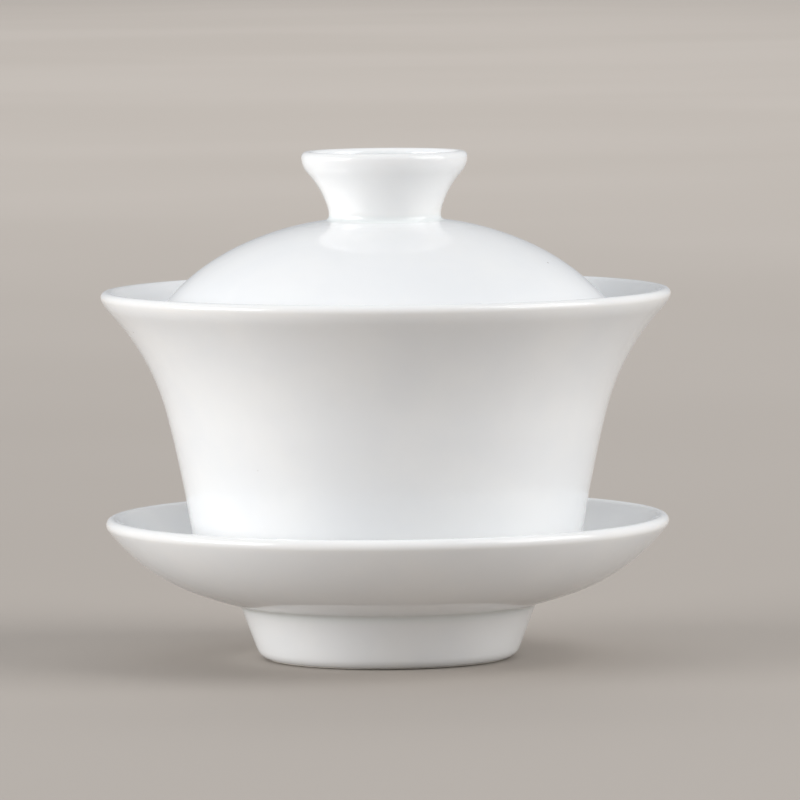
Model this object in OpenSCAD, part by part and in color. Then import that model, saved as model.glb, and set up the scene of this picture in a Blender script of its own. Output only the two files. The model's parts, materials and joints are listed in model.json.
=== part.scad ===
// Gaiwan: a lidded porcelain tea bowl on its saucer.
//
// Three fired pieces, each turned about the Z axis. The bowl's foot ring
// stands in the saucer's well, and the lid's edge sits inside the bowl's
// flare. The knob and the foot rings are fired in one with their piece.
//
// Origin: centre of the ring that the saucer stands on. +Z is up.
// Units: millimetres and degrees.

/* [Saucer] */
// Outer radius of the flat ring that it stands on
saucer_stand_r = 21; // [19.5:0.5:22]
// Radius of the recess inside the foot ring
saucer_recess_r = 18.6; // [16:0.2:18.8]
// Rounding of the foot's outer bottom edge
saucer_foot_round = 3; // [1:0.5:3.5]
// Height of the foot ring
saucer_foot_h = 9.9; // [9.6:0.1:10.2]
// Outer radius of the foot where it meets the belly
saucer_foot_top_r = 26.8; // [26:0.1:27.3]
// Thickness of the wall
saucer_wall = 2.4; // [2:0.1:2.8]
// Slope of the belly where it leaves the foot
saucer_slope = 13; // [11.5:0.1:15]
// Radius of the shallow lower belly
saucer_belly_r = 67.6; // [60:0.2:76]
// Turn of the lower belly
saucer_belly_turn = 7.8; // [7:0.2:9]
// Radius of the upturned edge
saucer_edge_r = 33.6; // [30:0.2:37]
// Turn of the upturned edge
saucer_edge_turn = 32.4; // [28:0.2:35]
// Radius of the well that the bowl stands in
well_r = 22.8; // [22.4:0.1:23.4]
// Height of the well's floor above the table
well_z = 8; // [7.6:0.1:8.2]
// Thickness of porcelain under the well
well_floor = 2.6; // [2:0.1:3]

/* [Bowl] */
// Outer radius of the flat ring that it stands on
bowl_stand_r = 20.2; // [19.6:0.1:20.6]
// Inner radius of the foot ring
bowl_foot_inner_r = 18; // [17:0.1:18.4]
// Outer radius of the foot where it meets the belly
bowl_foot_top_r = 21.6; // [21.2:0.1:22]
// Rounding of the foot's outer bottom edge
bowl_foot_round = 0.8; // [0.4:0.1:1]
// Depth of the recess inside the foot ring
bowl_recess = 3.9; // [3.6:0.1:4.4]
// Thickness of the wall
bowl_wall = 2.1; // [2:0.1:2.4]
// Radius of the level middle of the floor
bowl_floor_r = 12.9; // [12.2:0.1:13.5]
// Radius of the floor's gentle rise
bowl_rise_r = 50; // [45:1:55]
// Turn of the floor's gentle rise
bowl_rise_turn = 18; // [17:0.5:19]
// Radius of the heel, where floor turns into side
bowl_heel_r = 10; // [9:0.2:11]
// Turn of the heel
bowl_heel_turn = 62; // [61:0.5:63]
// Length of the straight stretch above the heel
bowl_side_l = 5.1; // [3.5:0.1:6.5]
// Radius of the slightly hollow waist
bowl_waist_r = 255; // [220:1:300]
// Turn of the waist
bowl_waist_turn = 3.9; // [3.4:0.1:4.4]
// Radius of the flare
bowl_flare_r = 43; // [41:0.1:46]
// Turn of the flare
bowl_flare_turn = 29.1; // [27:0.1:31]
// Radius of the edge, where the flare turns a little upright again
bowl_edge_r = 8; // [6:0.5:12]
// Turn of the edge
bowl_edge_turn = 18.5; // [12:0.5:22]

/* [Lid] */
// Height of the crown above the table
lid_crown_z = 79.6; // [79:0.02:81]
// Thickness of the wall
lid_wall = 2.2; // [2:0.1:2.4]
// Radius of the level middle of the crown
lid_crown_r = 4.3; // [3:0.1:5.4]
// Radius of the dome around the knob
lid_dome_r = 52; // [50:0.5:55]
// Turn of the dome around the knob
lid_dome_turn = 26.4; // [24:0.2:28]
// Radius of the dome's shoulder
lid_shoulder_r = 39.6; // [38:0.2:42]
// Gap between the lid's edge and the bowl's flare
lid_gap = 0.2; // [0.1:0.05:0.3]

/* [Knob] */
// Radius of the neck
knob_neck_r = 10.11; // [9.6:0.01:10.6]
// Height of the neck's narrowest place above the crown
knob_neck_h = 0.62; // [0.6:0.02:1]
// Thickness of the ring
knob_wall = 2.1; // [1.8:0.1:2.4]
// Radius of the tight curve out of the neck
knob_root_r = 4; // [3:0.1:5]
// Turn of the tight curve out of the neck
knob_root_turn = 16.8; // [16:0.2:18]
// Radius of the open flare
knob_flare_r = 16.8; // [15:0.2:19]
// Turn of the open flare
knob_flare_turn = 25.4; // [23:0.2:26]
// Radius of the shoulder that turns upright again
knob_shoulder_r = 4.1; // [3:0.1:5]

/* [Coves] */
// Radius of the cove where a foot meets its body
foot_cove_r = 1.5; // [0.6:0.1:1.8]
// Radius of the cove where the knob's neck meets the dome
neck_cove_r = 0.9; // [0.6:0.1:0.9]

/* [Hidden] */
$fn = 96;
PORCELAIN = [0.93, 0.93, 0.92];

// Furthest that an arc's points let it fall short of its true curve
SAG = 0.01;

// A place is [x, z, heading]. A step is [radius, turn], which goes left on a
// positive turn, or [length, 0], which goes straight. A path is a list of steps.

function toward(angle) = [cos(angle), sin(angle)];

// The point that lies a distance to the left of a place
function beside(place, left = 0) = [place.x, place.y] + left * toward(place.z + 90);

function centre(place, step) = beside(place, sign(step[1]) * step[0]);

function after(place, step) =
    let (
        heading = place.z + step[1],
        end = step[1] == 0
            ? beside(place) + step[0] * toward(heading)
            : centre(place, step) + step[0] * toward(heading - sign(step[1]) * 90)
    )
    [end.x, end.y, heading];

// Places along a path, from its start to its end
function places(start, path) = [
    for (i = 0, p = start; i <= len(path); p = i < len(path) ? after(p, path[i]) : p, i = i + 1) p
];

function last(list) = list[len(list) - 1];

function reversed(list) = [for (i = [len(list) - 1 : -1 : 0]) list[i]];

function all_but_first(list) = [for (i = [1 : len(list) - 1]) list[i]];

// Points on an arc, without its first
function arc(c, r, from, turn) =
    let (n = ceil(abs(turn) / (2 * acos(1 - SAG / r))))
    [for (k = [1 : n]) c + r * toward(from + turn * k / n)];

// Points a distance to the left of one step, without its first
function step_points(place, step, left) =
    let (side = sign(step[1]))
    side == 0
        ? [beside(after(place, step), left)]
        : arc(centre(place, step), step[0] - side * left, place.z - side * 90, step[1]);

// Points a distance to the left of a path, without its first
function trace(start, path, left = 0) =
    let (stops = places(start, path))
    [for (i = [0 : len(path) - 1]) each step_points(stops[i], path[i], left)];

// Out along a wall's right face, round its lip and back along its left face
function wall(start, path, right, left) =
    let (end = last(places(start, path)))
    [
        each trace(start, path, right),
        each arc(beside(end, (right + left) / 2), (left - right) / 2, end.z - 90, 180),
        each all_but_first(reversed(trace(start, path, left))),
        beside(start, left)
    ];

// A cove in the open corner between two directions
function cove(corner, from, to, r) =
    let (middle = corner + r / sin((to - from) / 2) * toward((from + to) / 2))
    [middle + r * toward(from - 90), each arc(middle, r, from - 90, to - from - 180)];

// Heading of a foot's side, from its rounded bottom edge up to its top
function lean(stand, round, top) =
    let (v = top - stand - [0, round])
    90 + atan2(v.y, v.x) - acos(round / norm(v));

// A foot ring, from its inner top edge down, across and up to the cove under the body
function foot(inner, stand, round, top, slope) =
    let (side = lean(stand, round, top))
    [
        [inner, stand.y],
        stand,
        each arc(stand + [0, round], round, -90, side),
        each cove(top, side - 180, slope, foot_cove_r)
    ];

saucer_start = [saucer_foot_top_r, saucer_foot_h, saucer_slope];
saucer_path = [[saucer_belly_r, saucer_belly_turn], [saucer_edge_r, saucer_edge_turn]];
saucer_floor_z = beside(saucer_start, saucer_wall).y;

saucer_outline = [
    [0, well_z - well_floor],
    [saucer_recess_r, well_z - well_floor],
    each foot(
        saucer_recess_r, [saucer_stand_r, 0], saucer_foot_round, beside(saucer_start), saucer_slope
    ),
    each wall(saucer_start, saucer_path, 0, saucer_wall),
    [well_r, saucer_floor_z],
    [well_r, well_z],
    [0, well_z]
];

bowl_base = [0, well_z + bowl_recess, 0];
bowl_foot_slope = asin((bowl_foot_top_r - bowl_floor_r) / bowl_rise_r);
bowl_floor = [[bowl_floor_r, 0], [bowl_rise_r, bowl_foot_slope]];
bowl_start = last(places(bowl_base, bowl_floor));
bowl_path = [
    [bowl_rise_r, bowl_rise_turn - bowl_foot_slope],
    [bowl_heel_r, bowl_heel_turn],
    [bowl_side_l, 0],
    [bowl_waist_r, -bowl_waist_turn],
    [bowl_flare_r, -bowl_flare_turn],
    [bowl_edge_r, bowl_edge_turn]
];
BOWL_FLARE = 4;

bowl_outline = [
    beside(bowl_base),
    [bowl_foot_inner_r, bowl_base.y],
    each foot(
        bowl_foot_inner_r, [bowl_stand_r, well_z], bowl_foot_round, beside(bowl_start), bowl_foot_slope
    ),
    each wall(bowl_start, bowl_path, 0, bowl_wall),
    each all_but_first(reversed(trace(bowl_base, bowl_floor, bowl_wall))),
    beside(bowl_base, bowl_wall)
];

lid_crown = [0, lid_crown_z, 0];
lid_neck_slope = asin((knob_neck_r - lid_crown_r) / lid_dome_r);
lid_middle = [[lid_crown_r, 0], [lid_dome_r, -lid_neck_slope]];
lid_start = last(places(lid_crown, lid_middle));
lid_dome = [lid_dome_r, lid_neck_slope - lid_dome_turn];

// The shoulder turns until the lid's round edge is lid_gap off the bowl's flare:
// the edge's centre is where circles about the two arcs' centres cross.
lid_shoulder_start = after(lid_start, lid_dome);
lid_shoulder_centre = centre(lid_shoulder_start, [lid_shoulder_r, -1]);
lid_edge_reach = lid_shoulder_r - lid_wall / 2;
flare_centre = centre(places(bowl_start, bowl_path)[BOWL_FLARE], bowl_path[BOWL_FLARE]);
flare_reach = bowl_flare_r + bowl_wall + lid_gap + lid_wall / 2;
centres = flare_centre - lid_shoulder_centre;
lid_edge_angle = atan2(centres.y, centres.x)
    + acos((lid_edge_reach ^ 2 + norm(centres) ^ 2 - flare_reach ^ 2) / (2 * lid_edge_reach * norm(centres)));
lid_path = [lid_dome, [lid_shoulder_r, lid_edge_angle - 90 - lid_shoulder_start.z]];

knob_start = [knob_neck_r, lid_crown_z + knob_neck_h, 90];
knob_root = [knob_root_r, -knob_root_turn];
knob_path = [[knob_flare_r, -knob_flare_turn], [knob_shoulder_r, knob_root_turn + knob_flare_turn]];
knob_hollow = after(knob_start, knob_root);

lid_outline = [
    beside(lid_crown, -lid_wall),
    each trace(lid_crown, lid_middle, -lid_wall),
    each all_but_last(wall(lid_start, lid_path, -lid_wall, 0)),
    each cove(beside(lid_start), -lid_neck_slope, 90, neck_cove_r),
    beside(knob_start),
    each trace(knob_start, [knob_root]),
    each wall(knob_hollow, knob_path, 0, knob_wall),
    [0, beside(knob_hollow, knob_wall).y]
];

function all_but_last(list) = [for (i = [0 : len(list) - 2]) list[i]];

module turned(outline) {
    color(PORCELAIN)
        rotate_extrude()
            polygon(outline);
}

module saucer() {
    turned(saucer_outline);
}

module bowl() {
    turned(bowl_outline);
}

module lid() {
    turned(lid_outline);
}

saucer();
bowl();
lid();
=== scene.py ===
import json
import math

import bpy
import numpy as np
from mathutils import Matrix, Vector

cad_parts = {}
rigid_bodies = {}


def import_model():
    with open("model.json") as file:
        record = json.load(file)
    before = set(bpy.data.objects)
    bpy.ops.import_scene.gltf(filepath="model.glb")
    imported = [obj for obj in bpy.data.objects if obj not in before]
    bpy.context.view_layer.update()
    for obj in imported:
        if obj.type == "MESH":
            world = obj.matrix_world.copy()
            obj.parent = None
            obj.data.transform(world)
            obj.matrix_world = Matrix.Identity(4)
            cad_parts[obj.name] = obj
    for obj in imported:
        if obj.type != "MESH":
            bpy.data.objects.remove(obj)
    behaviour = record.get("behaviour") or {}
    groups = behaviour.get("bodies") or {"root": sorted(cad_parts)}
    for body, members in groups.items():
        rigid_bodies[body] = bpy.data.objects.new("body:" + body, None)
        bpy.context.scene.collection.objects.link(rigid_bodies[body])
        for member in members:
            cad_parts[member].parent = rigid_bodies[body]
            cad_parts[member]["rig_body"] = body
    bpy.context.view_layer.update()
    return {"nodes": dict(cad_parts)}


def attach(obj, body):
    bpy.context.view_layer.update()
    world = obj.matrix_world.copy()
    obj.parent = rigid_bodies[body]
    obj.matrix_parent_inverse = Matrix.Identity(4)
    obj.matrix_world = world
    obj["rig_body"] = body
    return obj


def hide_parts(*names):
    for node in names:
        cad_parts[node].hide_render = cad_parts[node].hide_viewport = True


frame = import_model()

# Metres, as in the frame. Angles are in degrees where a name says so.
MM = 0.001

# How finely the turned pieces are made: faces round the axis, rows along the outline
AROUND = 240
ROW = 1.0 * MM

# How far an edge's softening reaches from its corner, for each sharp corner of a
# piece's outline in turn, starting at the axis underneath
CORNER_REACH = {
    "saucer": (1.6 * MM, 0.5 * MM, 1.0 * MM, 0.9 * MM),
    "bowl": (1.4 * MM, 0.5 * MM),
    "lid": (2.6 * MM,),
}
EASE_POINTS = 9

# How far an outline turns at one point of a sharp corner, and of a tight curve, in degrees
SHARP_TURN = 30
COVE_TURN = 10

# Points this near each other, or this near the axis, are the same
TINY = 1e-7

# The bare clay that stood on the kiln shelf: its height above the lowest edge, the
# depth that it is set into the glazed piece, and the gap between the two
BARE = {"saucer": 0.30 * MM, "bowl": 0.28 * MM, "lid": 0.62 * MM}
BARE_DEPTH = 0.32 * MM
BARE_GAP = 0.02 * MM

# How far the bare clay lies below the glaze beside it, and the rounding of the glaze's edge
BARE_SUNK = {"saucer": 0.0, "bowl": 0.0, "lid": 0.05 * MM}
GLAZE_ROLL = 0.14 * MM

# What drying and firing do to a turned piece: its outline goes out of round by these shares,
# and at this radius its height out of level by these lengths, except near the foot. The
# phase, in radians, turns the whole of it.
WARP_PHASE = {"saucer": 0.6, "bowl": 2.1, "lid": 4.0}
OVAL, TRIANGULAR = 0.0005, 0.0003
TWIST = 60
WARP_RADIUS = 50 * MM
SAG, RIPPLE = 0.03 * MM, 0.015 * MM
LEVEL_BELOW = 10 * MM

# How far the look of a ring reaches from it: glaze pooled in corners and coves, glaze thinned
# over lips with a painted highlight there, and glaze rubbed where another piece stands
CORNER_POOL = {"well": 2.2 * MM, "saucer": 2.5 * MM, "bowl": 2.0 * MM, "lid": 2.4 * MM}
COVE_POOL = {"saucer": 1.8 * MM, "bowl": 1.6 * MM, "lid": 1.4 * MM}
LIP_THIN_AND_HIGHLIT = {"saucer": 2.0 * MM, "bowl": 2.2 * MM, "lid": 1.6 * MM, "knob": 1.8 * MM}
RUBBED = {"saucer": 2.4 * MM, "bowl": 2.0 * MM, "lid": 2.0 * MM}

# Glaze: its two tones, where it runs together, where it thins over an edge with a painted
# highlight there, and iron in it
GLAZE_CLOUD = 14 * MM
GLAZE_TONES = (0.845, 0.855, 0.862, 1), (0.875, 0.880, 0.878, 1)
POOLED, POOLED_SHARE = (0.74, 0.80, 0.79, 1), 0.45
# The lips' tone: warmer where the glaze thins, and lighter as a painted highlight
THINNED_AND_HIGHLIT, THINNED_AND_HIGHLIT_SHARE = (0.905, 0.895, 0.875, 1), 0.5
IRON, IRON_SHARE = (0.20, 0.13, 0.08, 1), 0.6
IRON_SIZE, IRON_SPACING, IRON_RARITY = 0.32 * MM, 7.5 * MM, 0.78

# Glaze: smears and scratches that dull it, and the swells, orange peel and pinholes in it
SMEAR_SIZE, SCRATCH_SIZE, SCRATCH_SQUEEZE = 5 * MM, 0.8 * MM, (1.0, 7.0, 3.0)
GLAZE_ROUGH = 0.07, 0.13
LIP_ROUGHER, RUB_ROUGHER = 0.05, 0.22
SWELL_SIZE, SWELL_DEPTH = 9 * MM, 0.012 * MM
PEEL_SIZE, PEEL_DEPTH = 1.1 * MM, 0.0022 * MM
PIT_SIZE, PIT_SPACING, PIT_RARITY, PIT_DEPTH = 0.22 * MM, 4.5 * MM, 0.6, 0.012 * MM

# Bare clay: its two tones, the grit in it and its grain
CLAY_CLOUD = 5 * MM
CLAY_TONES = (0.80, 0.765, 0.70, 1), (0.70, 0.655, 0.58, 1)
GRIT, GRIT_SHARE = (0.42, 0.33, 0.25, 1), 0.5
GRIT_SIZE, GRIT_SPACING, GRIT_RARITY = 0.16 * MM, 0.9 * MM, 0.55
CLAY_GRAIN_SIZE, CLAY_GRAIN_DEPTH = 0.35 * MM, 0.03 * MM
CLAY_ROUGH = 0.68, 0.88

# The floor: its two tones and half its width
FLOOR_CLOUD = 0.5
FLOOR_TONES = (0.42, 0.382, 0.345, 1), (0.44, 0.402, 0.365, 1)
FLOOR_HALF = 9.0

# The soft lights: how far out they stand and how wide they are, then for each its azimuth
# and elevation in degrees, its height and its power in watts
LAMP_AWAY, LAMP_WIDTH = 1.7, 1.34
SOFT_LIGHTS = {
    "left": (-72, 15, 0.90, 25),
    "right_low": (72, 15, 0.90, 7.6),
    "right_high": (72, 38, 1.34, 14.5),
}

# The light over the floor behind the object, and the open room's light
BACKDROP_PLACE, BACKDROP_SIZE, BACKDROP_POWER = (0, 3.9, 1.3), (2.4, 6.0), 61
ROOM_TINT, ROOM_STRENGTH = (0.86, 0.88, 0.92, 1), 0.45

# The camera: where its axis of view meets the object's axis, and from where
SENSOR = 0.036
FOCAL = 0.3465
VIEW_DISTANCE = 1.3863
VIEW_DOWN_DEG = 4.14
VIEW_HEIGHT = 46.6 * MM
VIEW_RIGHT = 2.44 * MM
VIEW_ROLL_DEG = -0.5


def unit(v):
    return v / np.linalg.norm(v)


# ---------------------------------------------------------------- outlines


def seam(node):
    """The (radius, height) outline of a turned CAD node, from the axis underneath to the
    axis on top."""
    mesh = frame["nodes"][node].data
    on = {
        v.index: (round(v.co.x, 7), round(v.co.z, 7))
        for v in mesh.vertices
        if v.co.x > 0 and abs(v.co.y) < TINY
    }
    links = {}
    for edge in mesh.edges:
        a, b = (on.get(i) for i in edge.vertices)
        if a and b and a != b:
            links.setdefault(a, set()).add(b)
            links.setdefault(b, set()).add(a)
    ends = sorted((p for p in links if len(links[p]) == 1), key=lambda p: p[1])
    path = [ends[0]]
    while len(path) < len(links):
        path.append((links[path[-1]] - set(path[-2:-1])).pop())
    return np.array([(0.0, path[0][1]), *path, (0.0, path[-1][1])])


def turns(points):
    """How far the outline turns at each inner point, in degrees."""
    steps = np.diff(points, axis=0)
    heading = np.degrees(np.arctan2(steps[:, 1], steps[:, 0]))
    return (np.diff(heading) + 180) % 360 - 180


def walk(points, start, reach, way):
    """The point a length along the outline from a point of it, and the first point past that."""
    here, i = points[start], start + way
    while np.linalg.norm(points[i] - here) < reach:
        reach -= np.linalg.norm(points[i] - here)
        here, i = points[i], i + way
    return here + reach * unit(points[i] - here), i


def ease(points, corner, reach):
    """The outline with one corner turned into a curve."""
    a, before = walk(points, corner, reach, -1)
    b, after = walk(points, corner, reach, 1)
    t = np.linspace(0, 1, EASE_POINTS)[:, None]
    curve = (1 - t) ** 2 * a + 2 * t * (1 - t) * points[corner] + t**2 * b
    return np.vstack([points[: before + 1], curve, points[after:]])


def eased(node):
    """A node's outline with its sharp corners softened."""
    points = seam(node)
    corners = 1 + np.flatnonzero(np.abs(turns(points)) > SHARP_TURN)
    for corner, reach in reversed(list(zip(corners, CORNER_REACH[node], strict=True))):
        points = ease(points, corner, reach)
    return points


def headings(points):
    """The unit direction along the outline at each point."""
    ahead = np.vstack([points[1:], points[-1]])
    behind = np.vstack([points[0], points[:-1]])
    return (ahead - behind) / np.linalg.norm(ahead - behind, axis=1)[:, None]


def fine(points):
    """A smooth curve through an outline's points, with rows at most ROW apart."""
    along = headings(points)
    rows = []
    for i, j in zip(range(len(points)), range(1, len(points))):
        length = np.linalg.norm(points[j] - points[i])
        for t in np.arange(n := math.ceil(length / ROW)) / n:
            rows.append(
                (2 * t**3 - 3 * t**2 + 1) * points[i]
                + (t**3 - 2 * t**2 + t) * length * along[i]
                + (3 * t**2 - 2 * t**3) * points[j]
                + (t**3 - t**2) * length * along[j]
            )
    return np.array([*rows, points[-1]])


def inward(points):
    """The unit direction into the clay, which lies on the left of the outline."""
    along = headings(points)
    return np.column_stack([-along[:, 1], along[:, 0]])


def cross(points, i, j, height):
    """The point between two neighbours at a height."""
    t = (height - points[i][1]) / (points[j][1] - points[i][1])
    return points[i] + t * (points[j] - points[i])


def bare_and_glazed(points, band, sunk):
    """An outline split in two: the glazed piece's, with a shallow groove, and that of the
    bare ring that fills the groove."""
    height = points[:, 1].min() + band
    low = np.flatnonzero(points[:, 1] < height)
    first, last = low[0], low[-1]
    stretch = np.vstack([
        cross(points, first - 1, first, height),
        points[first : last + 1],
        cross(points, last, last + 1, height),
    ])
    into = inward(stretch)
    floor = stretch + BARE_DEPTH * into
    glazed = np.vstack([points[:first], stretch[0], floor, stretch[-1], points[last + 1 :]])
    for corner in (first + len(floor) + 1, first):
        glazed = ease(glazed, corner, GLAZE_ROLL)
    inner = stretch[1:-1]
    outside = inner + sunk * into[1:-1]
    inside = inner + (BARE_DEPTH - BARE_GAP) * into[1:-1]
    return glazed, np.vstack([outside, inside[::-1]])


# ------------------------------------------------------------------ meshes


def out_of_true(xyz, phase):
    """A turned piece's points moved by a few hundredths of a millimetre."""
    x, y, z = xyz.T
    a = np.arctan2(y, x)
    share = np.hypot(x, y) / WARP_RADIUS
    oval = OVAL * np.cos(2 * a + phase)
    wide = 1 + oval + TRIANGULAR * np.cos(3 * a - 2 * phase + TWIST * z)
    lift = share**2 * (SAG * np.cos(2 * a - phase) + RIPPLE * np.cos(5 * a + phase))
    foot = np.clip((z - z.min()) / LEVEL_BELOW, 0, 1)
    return np.column_stack([x * wide, y * wide, z + lift * foot])


def turned(name, outline, phase, closed=False):
    """A mesh turned about the Z axis. A point on the axis makes one vertex."""
    angles = 2 * math.pi * np.arange(AROUND) / AROUND
    verts, rows = [], []
    for r, z in outline:
        if r < TINY:
            rows.append([len(verts)] * AROUND)
            verts.append((0.0, 0.0, z))
        else:
            rows.append(list(range(len(verts), len(verts) + AROUND)))
            verts += [(r * math.cos(a), r * math.sin(a), z) for a in angles]
    faces = []
    for j in range(len(rows) - (not closed)):
        one, two = rows[j], rows[(j + 1) % len(rows)]
        for k in range(AROUND):
            n = (k + 1) % AROUND
            face = dict.fromkeys((one[k], one[n], two[n], two[k]))
            faces.append(tuple(face))
    mesh = bpy.data.meshes.new(name)
    mesh.from_pydata(out_of_true(np.array(verts), phase).tolist(), [], faces)
    mesh.validate()
    mesh.shade_smooth()
    mesh.set_sharp_from_angle(angle=math.radians(SHARP_TURN))
    piece = bpy.data.objects.new(name, mesh)
    bpy.context.scene.collection.objects.link(piece)
    return piece


# --------------------------------------------------------------- materials


def node_in(tree, kind, inputs=None, **settings):
    """A node with its settings made and its inputs set, or linked where a socket is given."""
    n = tree.nodes.new("ShaderNode" + kind)
    for key, value in settings.items():
        setattr(n, key, value)
    for key, value in (inputs or {}).items():
        if isinstance(value, bpy.types.NodeSocket):
            tree.links.new(value, n.inputs[key])
        else:
            n.inputs[key].default_value = value
    return n


def math_of(tree, operation, *values, clamp=False):
    """One step of arithmetic on values."""
    return node_in(
        tree, "Math", dict(enumerate(values)), operation=operation, use_clamp=clamp
    ).outputs[0]


def span(tree, value, low, high, to_low=0.0, to_high=1.0):
    """The value taken smoothly from one range to another."""
    return node_in(
        tree,
        "MapRange",
        {0: value, 1: low, 2: high, 3: to_low, 4: to_high},
        interpolation_type="SMOOTHSTEP",
    ).outputs[0]


def mixed(tree, share, a, b):
    """Two colours mixed."""
    return node_in(tree, "Mix", {0: share, 6: a, 7: b}, data_type="RGBA").outputs[2]


def noise(tree, where, size, detail=2.0, roughness=0.5):
    """Noise from 0 to 1 with features of a size in metres."""
    return node_in(
        tree,
        "TexNoise",
        {"Vector": where, "Scale": 1 / size, "Detail": detail, "Roughness": roughness},
    ).outputs[0]


def new_material(name):
    """A material, its tree and shader, and the place on the piece."""
    material = bpy.data.materials.new(name)
    material.use_nodes = True
    tree = material.node_tree
    where = node_in(tree, "TexCoord").outputs["Object"]
    return material, tree, tree.nodes["Principled BSDF"], where


def radius_and_height(tree, where):
    """The distance from the axis and the height, of a place on the piece."""
    axes = node_in(tree, "SeparateXYZ", {0: where}).outputs
    flat = node_in(tree, "CombineXYZ", {0: axes[0], 1: axes[1]}).outputs[0]
    radius = node_in(tree, "VectorMath", {0: flat}, operation="LENGTH").outputs["Value"]
    return radius, axes[2]


def near_ring(tree, radius, height, ring, reach):
    """1 on a ring round the axis, falling to 0 at a reach from it."""
    place = node_in(tree, "CombineXYZ", {0: radius, 1: height}).outputs[0]
    away = node_in(
        tree, "VectorMath", {0: place, 1: (*ring, 0.0)}, operation="DISTANCE"
    ).outputs["Value"]
    return span(tree, away, 0.0, reach, 1.0, 0.0)


def near_rings(tree, radius, height, rings):
    """1 on any of some rings, each with its reach, falling to 0 away from them."""
    total, *others = (near_ring(tree, radius, height, ring, reach) for ring, reach in rings)
    for share in others:
        total = math_of(tree, "MAXIMUM", total, share)
    return total


def specks(tree, where, size, spacing, rarity):
    """Rare round spots scattered through the surface."""
    cells = node_in(
        tree, "TexVoronoi", {"Vector": where, "Scale": 1 / spacing}, feature="F1"
    ).outputs
    spot = span(tree, cells["Distance"], 0.5 * size / spacing, 0.9 * size / spacing, 1.0, 0.0)
    pick = node_in(tree, "SeparateColor", {0: cells["Color"]}).outputs[0]
    return math_of(tree, "MULTIPLY", spot, math_of(tree, "GREATER_THAN", pick, rarity))


def bumped(tree, height, distance, normal=None, invert=False):
    """The normal tilted by a height field, on top of another normal."""
    inputs = {"Height": height, "Distance": distance}
    if normal:
        inputs["Normal"] = normal
    return node_in(tree, "Bump", inputs, invert=invert).outputs[0]


def glaze_colour(tree, where, pool, lip):
    """White, greener where the glaze pools, warmer where it thins over the lips and lighter
    there as a painted highlight, with specks of iron.
    """
    cloud = span(tree, noise(tree, where, GLAZE_CLOUD, 3), 0.3, 0.7)
    body = mixed(tree, cloud, *GLAZE_TONES)
    pooled = mixed(tree, math_of(tree, "MULTIPLY", pool, POOLED_SHARE), body, POOLED)
    # Warmer over the lips where the glaze thins, and lighter there as a painted highlight
    thinned_and_highlit = mixed(tree, math_of(tree, "MULTIPLY", lip, THINNED_AND_HIGHLIT_SHARE), pooled, THINNED_AND_HIGHLIT)
    spots = specks(tree, where, IRON_SIZE, IRON_SPACING, IRON_RARITY)
    return mixed(tree, math_of(tree, "MULTIPLY", spots, IRON_SHARE), thinned_and_highlit, IRON)


def glaze_roughness(tree, where, lip, rub):
    """Glossy with dull smears, duller over the lips, and scratched where it is rubbed."""
    smear = span(tree, noise(tree, where, SMEAR_SIZE, 4, 0.6), 0.35, 0.75, *GLAZE_ROUGH)
    scuffed = math_of(tree, "MULTIPLY_ADD", lip, LIP_ROUGHER, smear)
    scratch = node_in(
        tree, "VectorMath", {0: where, 1: SCRATCH_SQUEEZE}, operation="MULTIPLY"
    ).outputs[0]
    grain = span(tree, noise(tree, scratch, SCRATCH_SIZE, 3, 0.7), 0.45, 0.7)
    worn = math_of(tree, "MULTIPLY", math_of(tree, "MULTIPLY", rub, grain), RUB_ROUGHER)
    return math_of(tree, "ADD", scuffed, worn, clamp=True)


def glaze_normal(tree, where):
    """Slow swells, a faint orange peel and a few pinholes."""
    swell = bumped(tree, noise(tree, where, SWELL_SIZE, 1), SWELL_DEPTH)
    peel = bumped(tree, noise(tree, where, PEEL_SIZE, 2), PEEL_DEPTH, swell)
    pits = specks(tree, where, PIT_SIZE, PIT_SPACING, PIT_RARITY)
    return bumped(tree, pits, PIT_DEPTH, peel, invert=True)


def glaze(name, pools, lips, rubs):
    """Clear glaze on white porcelain. It pools a little greener in the coves, thins over the
    lips, where a highlight is painted lighter, and is rubbed duller where another piece stands
    on it."""
    material, tree, shader, where = new_material(name)
    at = radius_and_height(tree, where)
    pool, lip, rub = (near_rings(tree, *at, rings) for rings in (pools, lips, rubs))
    tree.links.new(glaze_colour(tree, where, pool, lip), shader.inputs["Base Color"])
    tree.links.new(glaze_roughness(tree, where, lip, rub), shader.inputs["Roughness"])
    tree.links.new(glaze_normal(tree, where), shader.inputs["Normal"])
    shader.inputs["IOR"].default_value = 1.52
    shader.inputs["Subsurface Weight"].default_value = 0.12
    shader.inputs["Subsurface Radius"].default_value = (1.0, 0.93, 0.86)
    shader.inputs["Subsurface Scale"].default_value = 1.2 * MM
    return material


def biscuit():
    """Bare fired clay: matt, warm, and gritty from the kiln shelf."""
    material, tree, shader, where = new_material("biscuit")
    tone = span(tree, noise(tree, where, CLAY_CLOUD, 4), 0.3, 0.7)
    spots = specks(tree, where, GRIT_SIZE, GRIT_SPACING, GRIT_RARITY)
    grit = math_of(tree, "MULTIPLY", spots, GRIT_SHARE)
    colour = mixed(tree, grit, mixed(tree, tone, *CLAY_TONES), GRIT)
    tree.links.new(colour, shader.inputs["Base Color"])
    grain = noise(tree, where, CLAY_GRAIN_SIZE, 4, 0.7)
    tree.links.new(span(tree, grain, 0.3, 0.7, *CLAY_ROUGH), shader.inputs["Roughness"])
    tree.links.new(bumped(tree, grain, CLAY_GRAIN_DEPTH), shader.inputs["Normal"])
    return material


def floor_paint():
    """A matt floor of an even tone."""
    material, tree, shader, where = new_material("floor")
    tone = span(tree, noise(tree, where, FLOOR_CLOUD, 2), 0.3, 0.7)
    tree.links.new(mixed(tree, tone, *FLOOR_TONES), shader.inputs["Base Color"])
    shader.inputs["Roughness"].default_value = 0.9
    shader.inputs["Specular IOR Level"].default_value = 0.1
    return material


# ------------------------------------------------------------------ pieces


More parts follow.
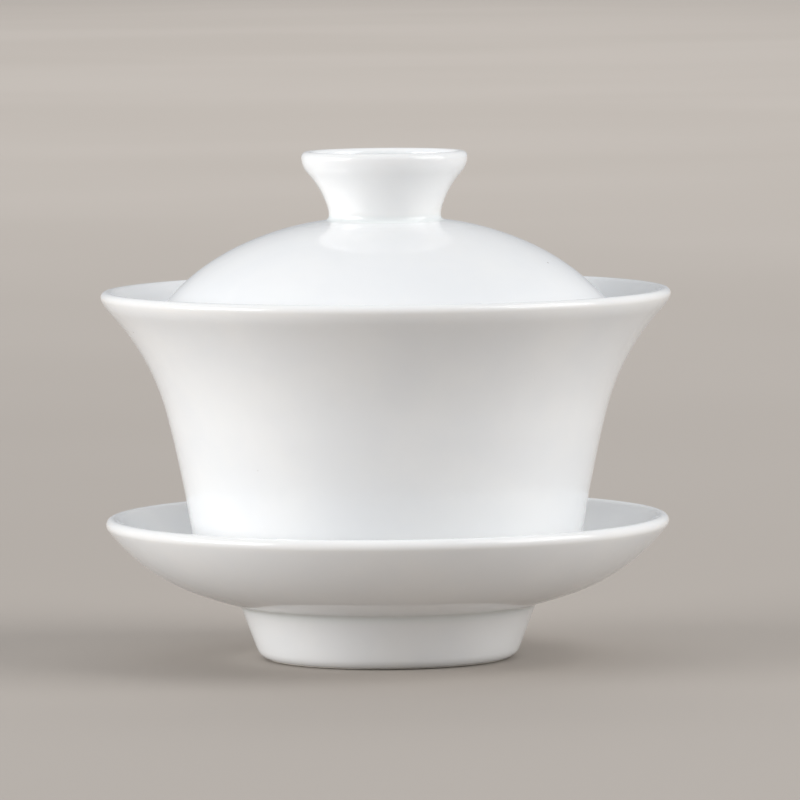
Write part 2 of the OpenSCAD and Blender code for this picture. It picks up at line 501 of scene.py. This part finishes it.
def make_pair(node, ring_name, pools, lips, rubs, bare):
    """A CAD node's glazed piece and its bare ring, riding on the node's body."""
    body = frame["nodes"][node]["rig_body"]
    glazed, ring = bare_and_glazed(eased(node), BARE[node], BARE_SUNK[node])
    phase = WARP_PHASE[node]
    porcelain = glaze(node + "_glaze", pools, lips, rubs)
    made = (
        (turned(node + "_glazed", fine(glazed), phase), porcelain, "porcelain"),
        (turned(ring_name, ring, phase, closed=True), bare, "biscuit"),
    )
    for piece, finish, slot in made:
        piece.data.materials.append(finish)
        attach(piece, body)
        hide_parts(node)


def widest(points):
    """The ring where an outline reaches farthest out."""
    return tuple(points[points[:, 0].argmax()])


def corner_rings(node):
    """The rings round the axis where a node's outline turns sharply, in order."""
    points = seam(node)
    return [tuple(points[i + 1]) for i in np.flatnonzero(np.abs(turns(points)) > SHARP_TURN)]


def coves(node):
    """The rings where the outline turns right in a tight curve, which glaze runs into."""
    points = seam(node)
    turning = turns(points)
    tight = 1 + np.flatnonzero((turning < -COVE_TURN) & (turning > -SHARP_TURN))
    groups = np.split(tight, 1 + np.flatnonzero(np.diff(tight) > 1))
    return [tuple(points[group].mean(axis=0)) for group in groups]


def standing_ring(node):
    """The ring that a node stands on: the middle of its lowest face."""
    points = seam(node)
    lowest = points[points[:, 1] < points[:, 1].min() + TINY]
    return tuple(lowest.mean(axis=0))


def cove_pools(node):
    return [(ring, COVE_POOL[node]) for ring in coves(node)]


def make_saucer(bare):
    recess, _, _, well = corner_rings("saucer")
    pools = [(well, CORNER_POOL["well"]), (recess, CORNER_POOL["saucer"])]
    lips = [(widest(seam("saucer")), LIP_THIN_AND_HIGHLIT["saucer"])]
    rubs = [(standing_ring("bowl"), RUBBED["saucer"])]
    make_pair("saucer", "saucer_foot_ring", pools + cove_pools("saucer"), lips, rubs, bare)


def make_bowl(bare):
    recess, _ = corner_rings("bowl")
    pools = [(recess, CORNER_POOL["bowl"])]
    lips = [(widest(seam("bowl")), LIP_THIN_AND_HIGHLIT["bowl"])]
    rubs = [(widest(seam("lid")), RUBBED["bowl"])]
    make_pair("bowl", "bowl_foot_ring", pools + cove_pools("bowl"), lips, rubs, bare)


def make_lid(bare):
    (hollow,) = corner_rings("lid")
    points = seam("lid")
    edge, knob_lip = widest(points), tuple(points[points[:, 1].argmax()])
    pools = [(hollow, CORNER_POOL["lid"])]
    lips = [(knob_lip, LIP_THIN_AND_HIGHLIT["knob"]), (edge, LIP_THIN_AND_HIGHLIT["lid"])]
    rubs = [(edge, RUBBED["lid"])]
    make_pair("lid", "lid_edge_ring", pools + cove_pools("lid"), lips, rubs, bare)


# ------------------------------------------------------------------- stage


def make_floor():
    mesh = bpy.data.meshes.new("floor")
    signs = (-1, -1), (1, -1), (1, 1), (-1, 1)
    corners = [(x * FLOOR_HALF, y * FLOOR_HALF, 0) for x, y in signs]
    mesh.from_pydata(corners, [], [(0, 1, 2, 3)])
    mesh.materials.append(floor_paint())
    floor = bpy.data.objects.new("floor", mesh)
    bpy.context.scene.collection.objects.link(floor)


def lamp_at(name, place, facing, width, height, power):
    """A white area light that the camera doesn't see."""
    light = bpy.data.lights.new(name, "AREA")
    light.shape = "RECTANGLE"
    light.size, light.size_y = width, height
    light.energy = power
    lamp = bpy.data.objects.new(name, light)
    lamp.location = place
    lamp.rotation_euler = facing.to_track_quat("-Z", "Y").to_euler()
    lamp.visible_camera = False
    bpy.context.scene.collection.objects.link(lamp)
    return lamp


def softbox(name, azimuth, elevation, height, power):
    """A soft light aimed at the object. Azimuth 0 is the camera's side, 90 its right."""
    a, e = math.radians(azimuth), math.radians(elevation)
    back = Vector((math.sin(a) * math.cos(e), -math.cos(a) * math.cos(e), math.sin(e)))
    place = Vector((0, 0, VIEW_HEIGHT)) + back * LAMP_AWAY
    lamp_at(name, place, -back, LAMP_WIDTH, height, power)


def light_backdrop():
    """A long light over the floor behind the object, which keeps it pale there and doesn't
    show in the glaze."""
    down = Vector((0, 0, -1))
    lamp = lamp_at("backdrop", BACKDROP_PLACE, down, *BACKDROP_SIZE, BACKDROP_POWER)
    lamp.visible_glossy = False


def make_lights():
    for name, settings in SOFT_LIGHTS.items():
        softbox(name, *settings)
    light_backdrop()
    world = bpy.data.worlds.new("world")
    world.use_nodes = True
    room = world.node_tree.nodes["Background"].inputs
    room["Color"].default_value = ROOM_TINT
    room["Strength"].default_value = ROOM_STRENGTH
    bpy.context.scene.world = world


def make_camera():
    down = math.radians(VIEW_DOWN_DEG)
    camera = bpy.data.objects.new("camera", bpy.data.cameras.new("camera"))
    camera.data.sensor_width = SENSOR / MM
    camera.data.lens = FOCAL / MM
    camera.data.clip_start, camera.data.clip_end = 0.05, 40
    camera.location = (
        VIEW_RIGHT,
        -VIEW_DISTANCE,
        VIEW_HEIGHT + VIEW_DISTANCE * math.tan(down),
    )
    tilt = Matrix.Rotation(math.pi / 2 - down, 3, "X")
    roll = Matrix.Rotation(math.radians(VIEW_ROLL_DEG), 3, "Z")
    camera.rotation_euler = (tilt @ roll).to_euler()
    bpy.context.scene.collection.objects.link(camera)
    bpy.context.scene.camera = camera


make_camera()
make_lights()
make_floor()
bare = biscuit()
make_saucer(bare)
make_bowl(bare)
make_lid(bare)
bpy.context.scene.view_settings.view_transform = "Standard"
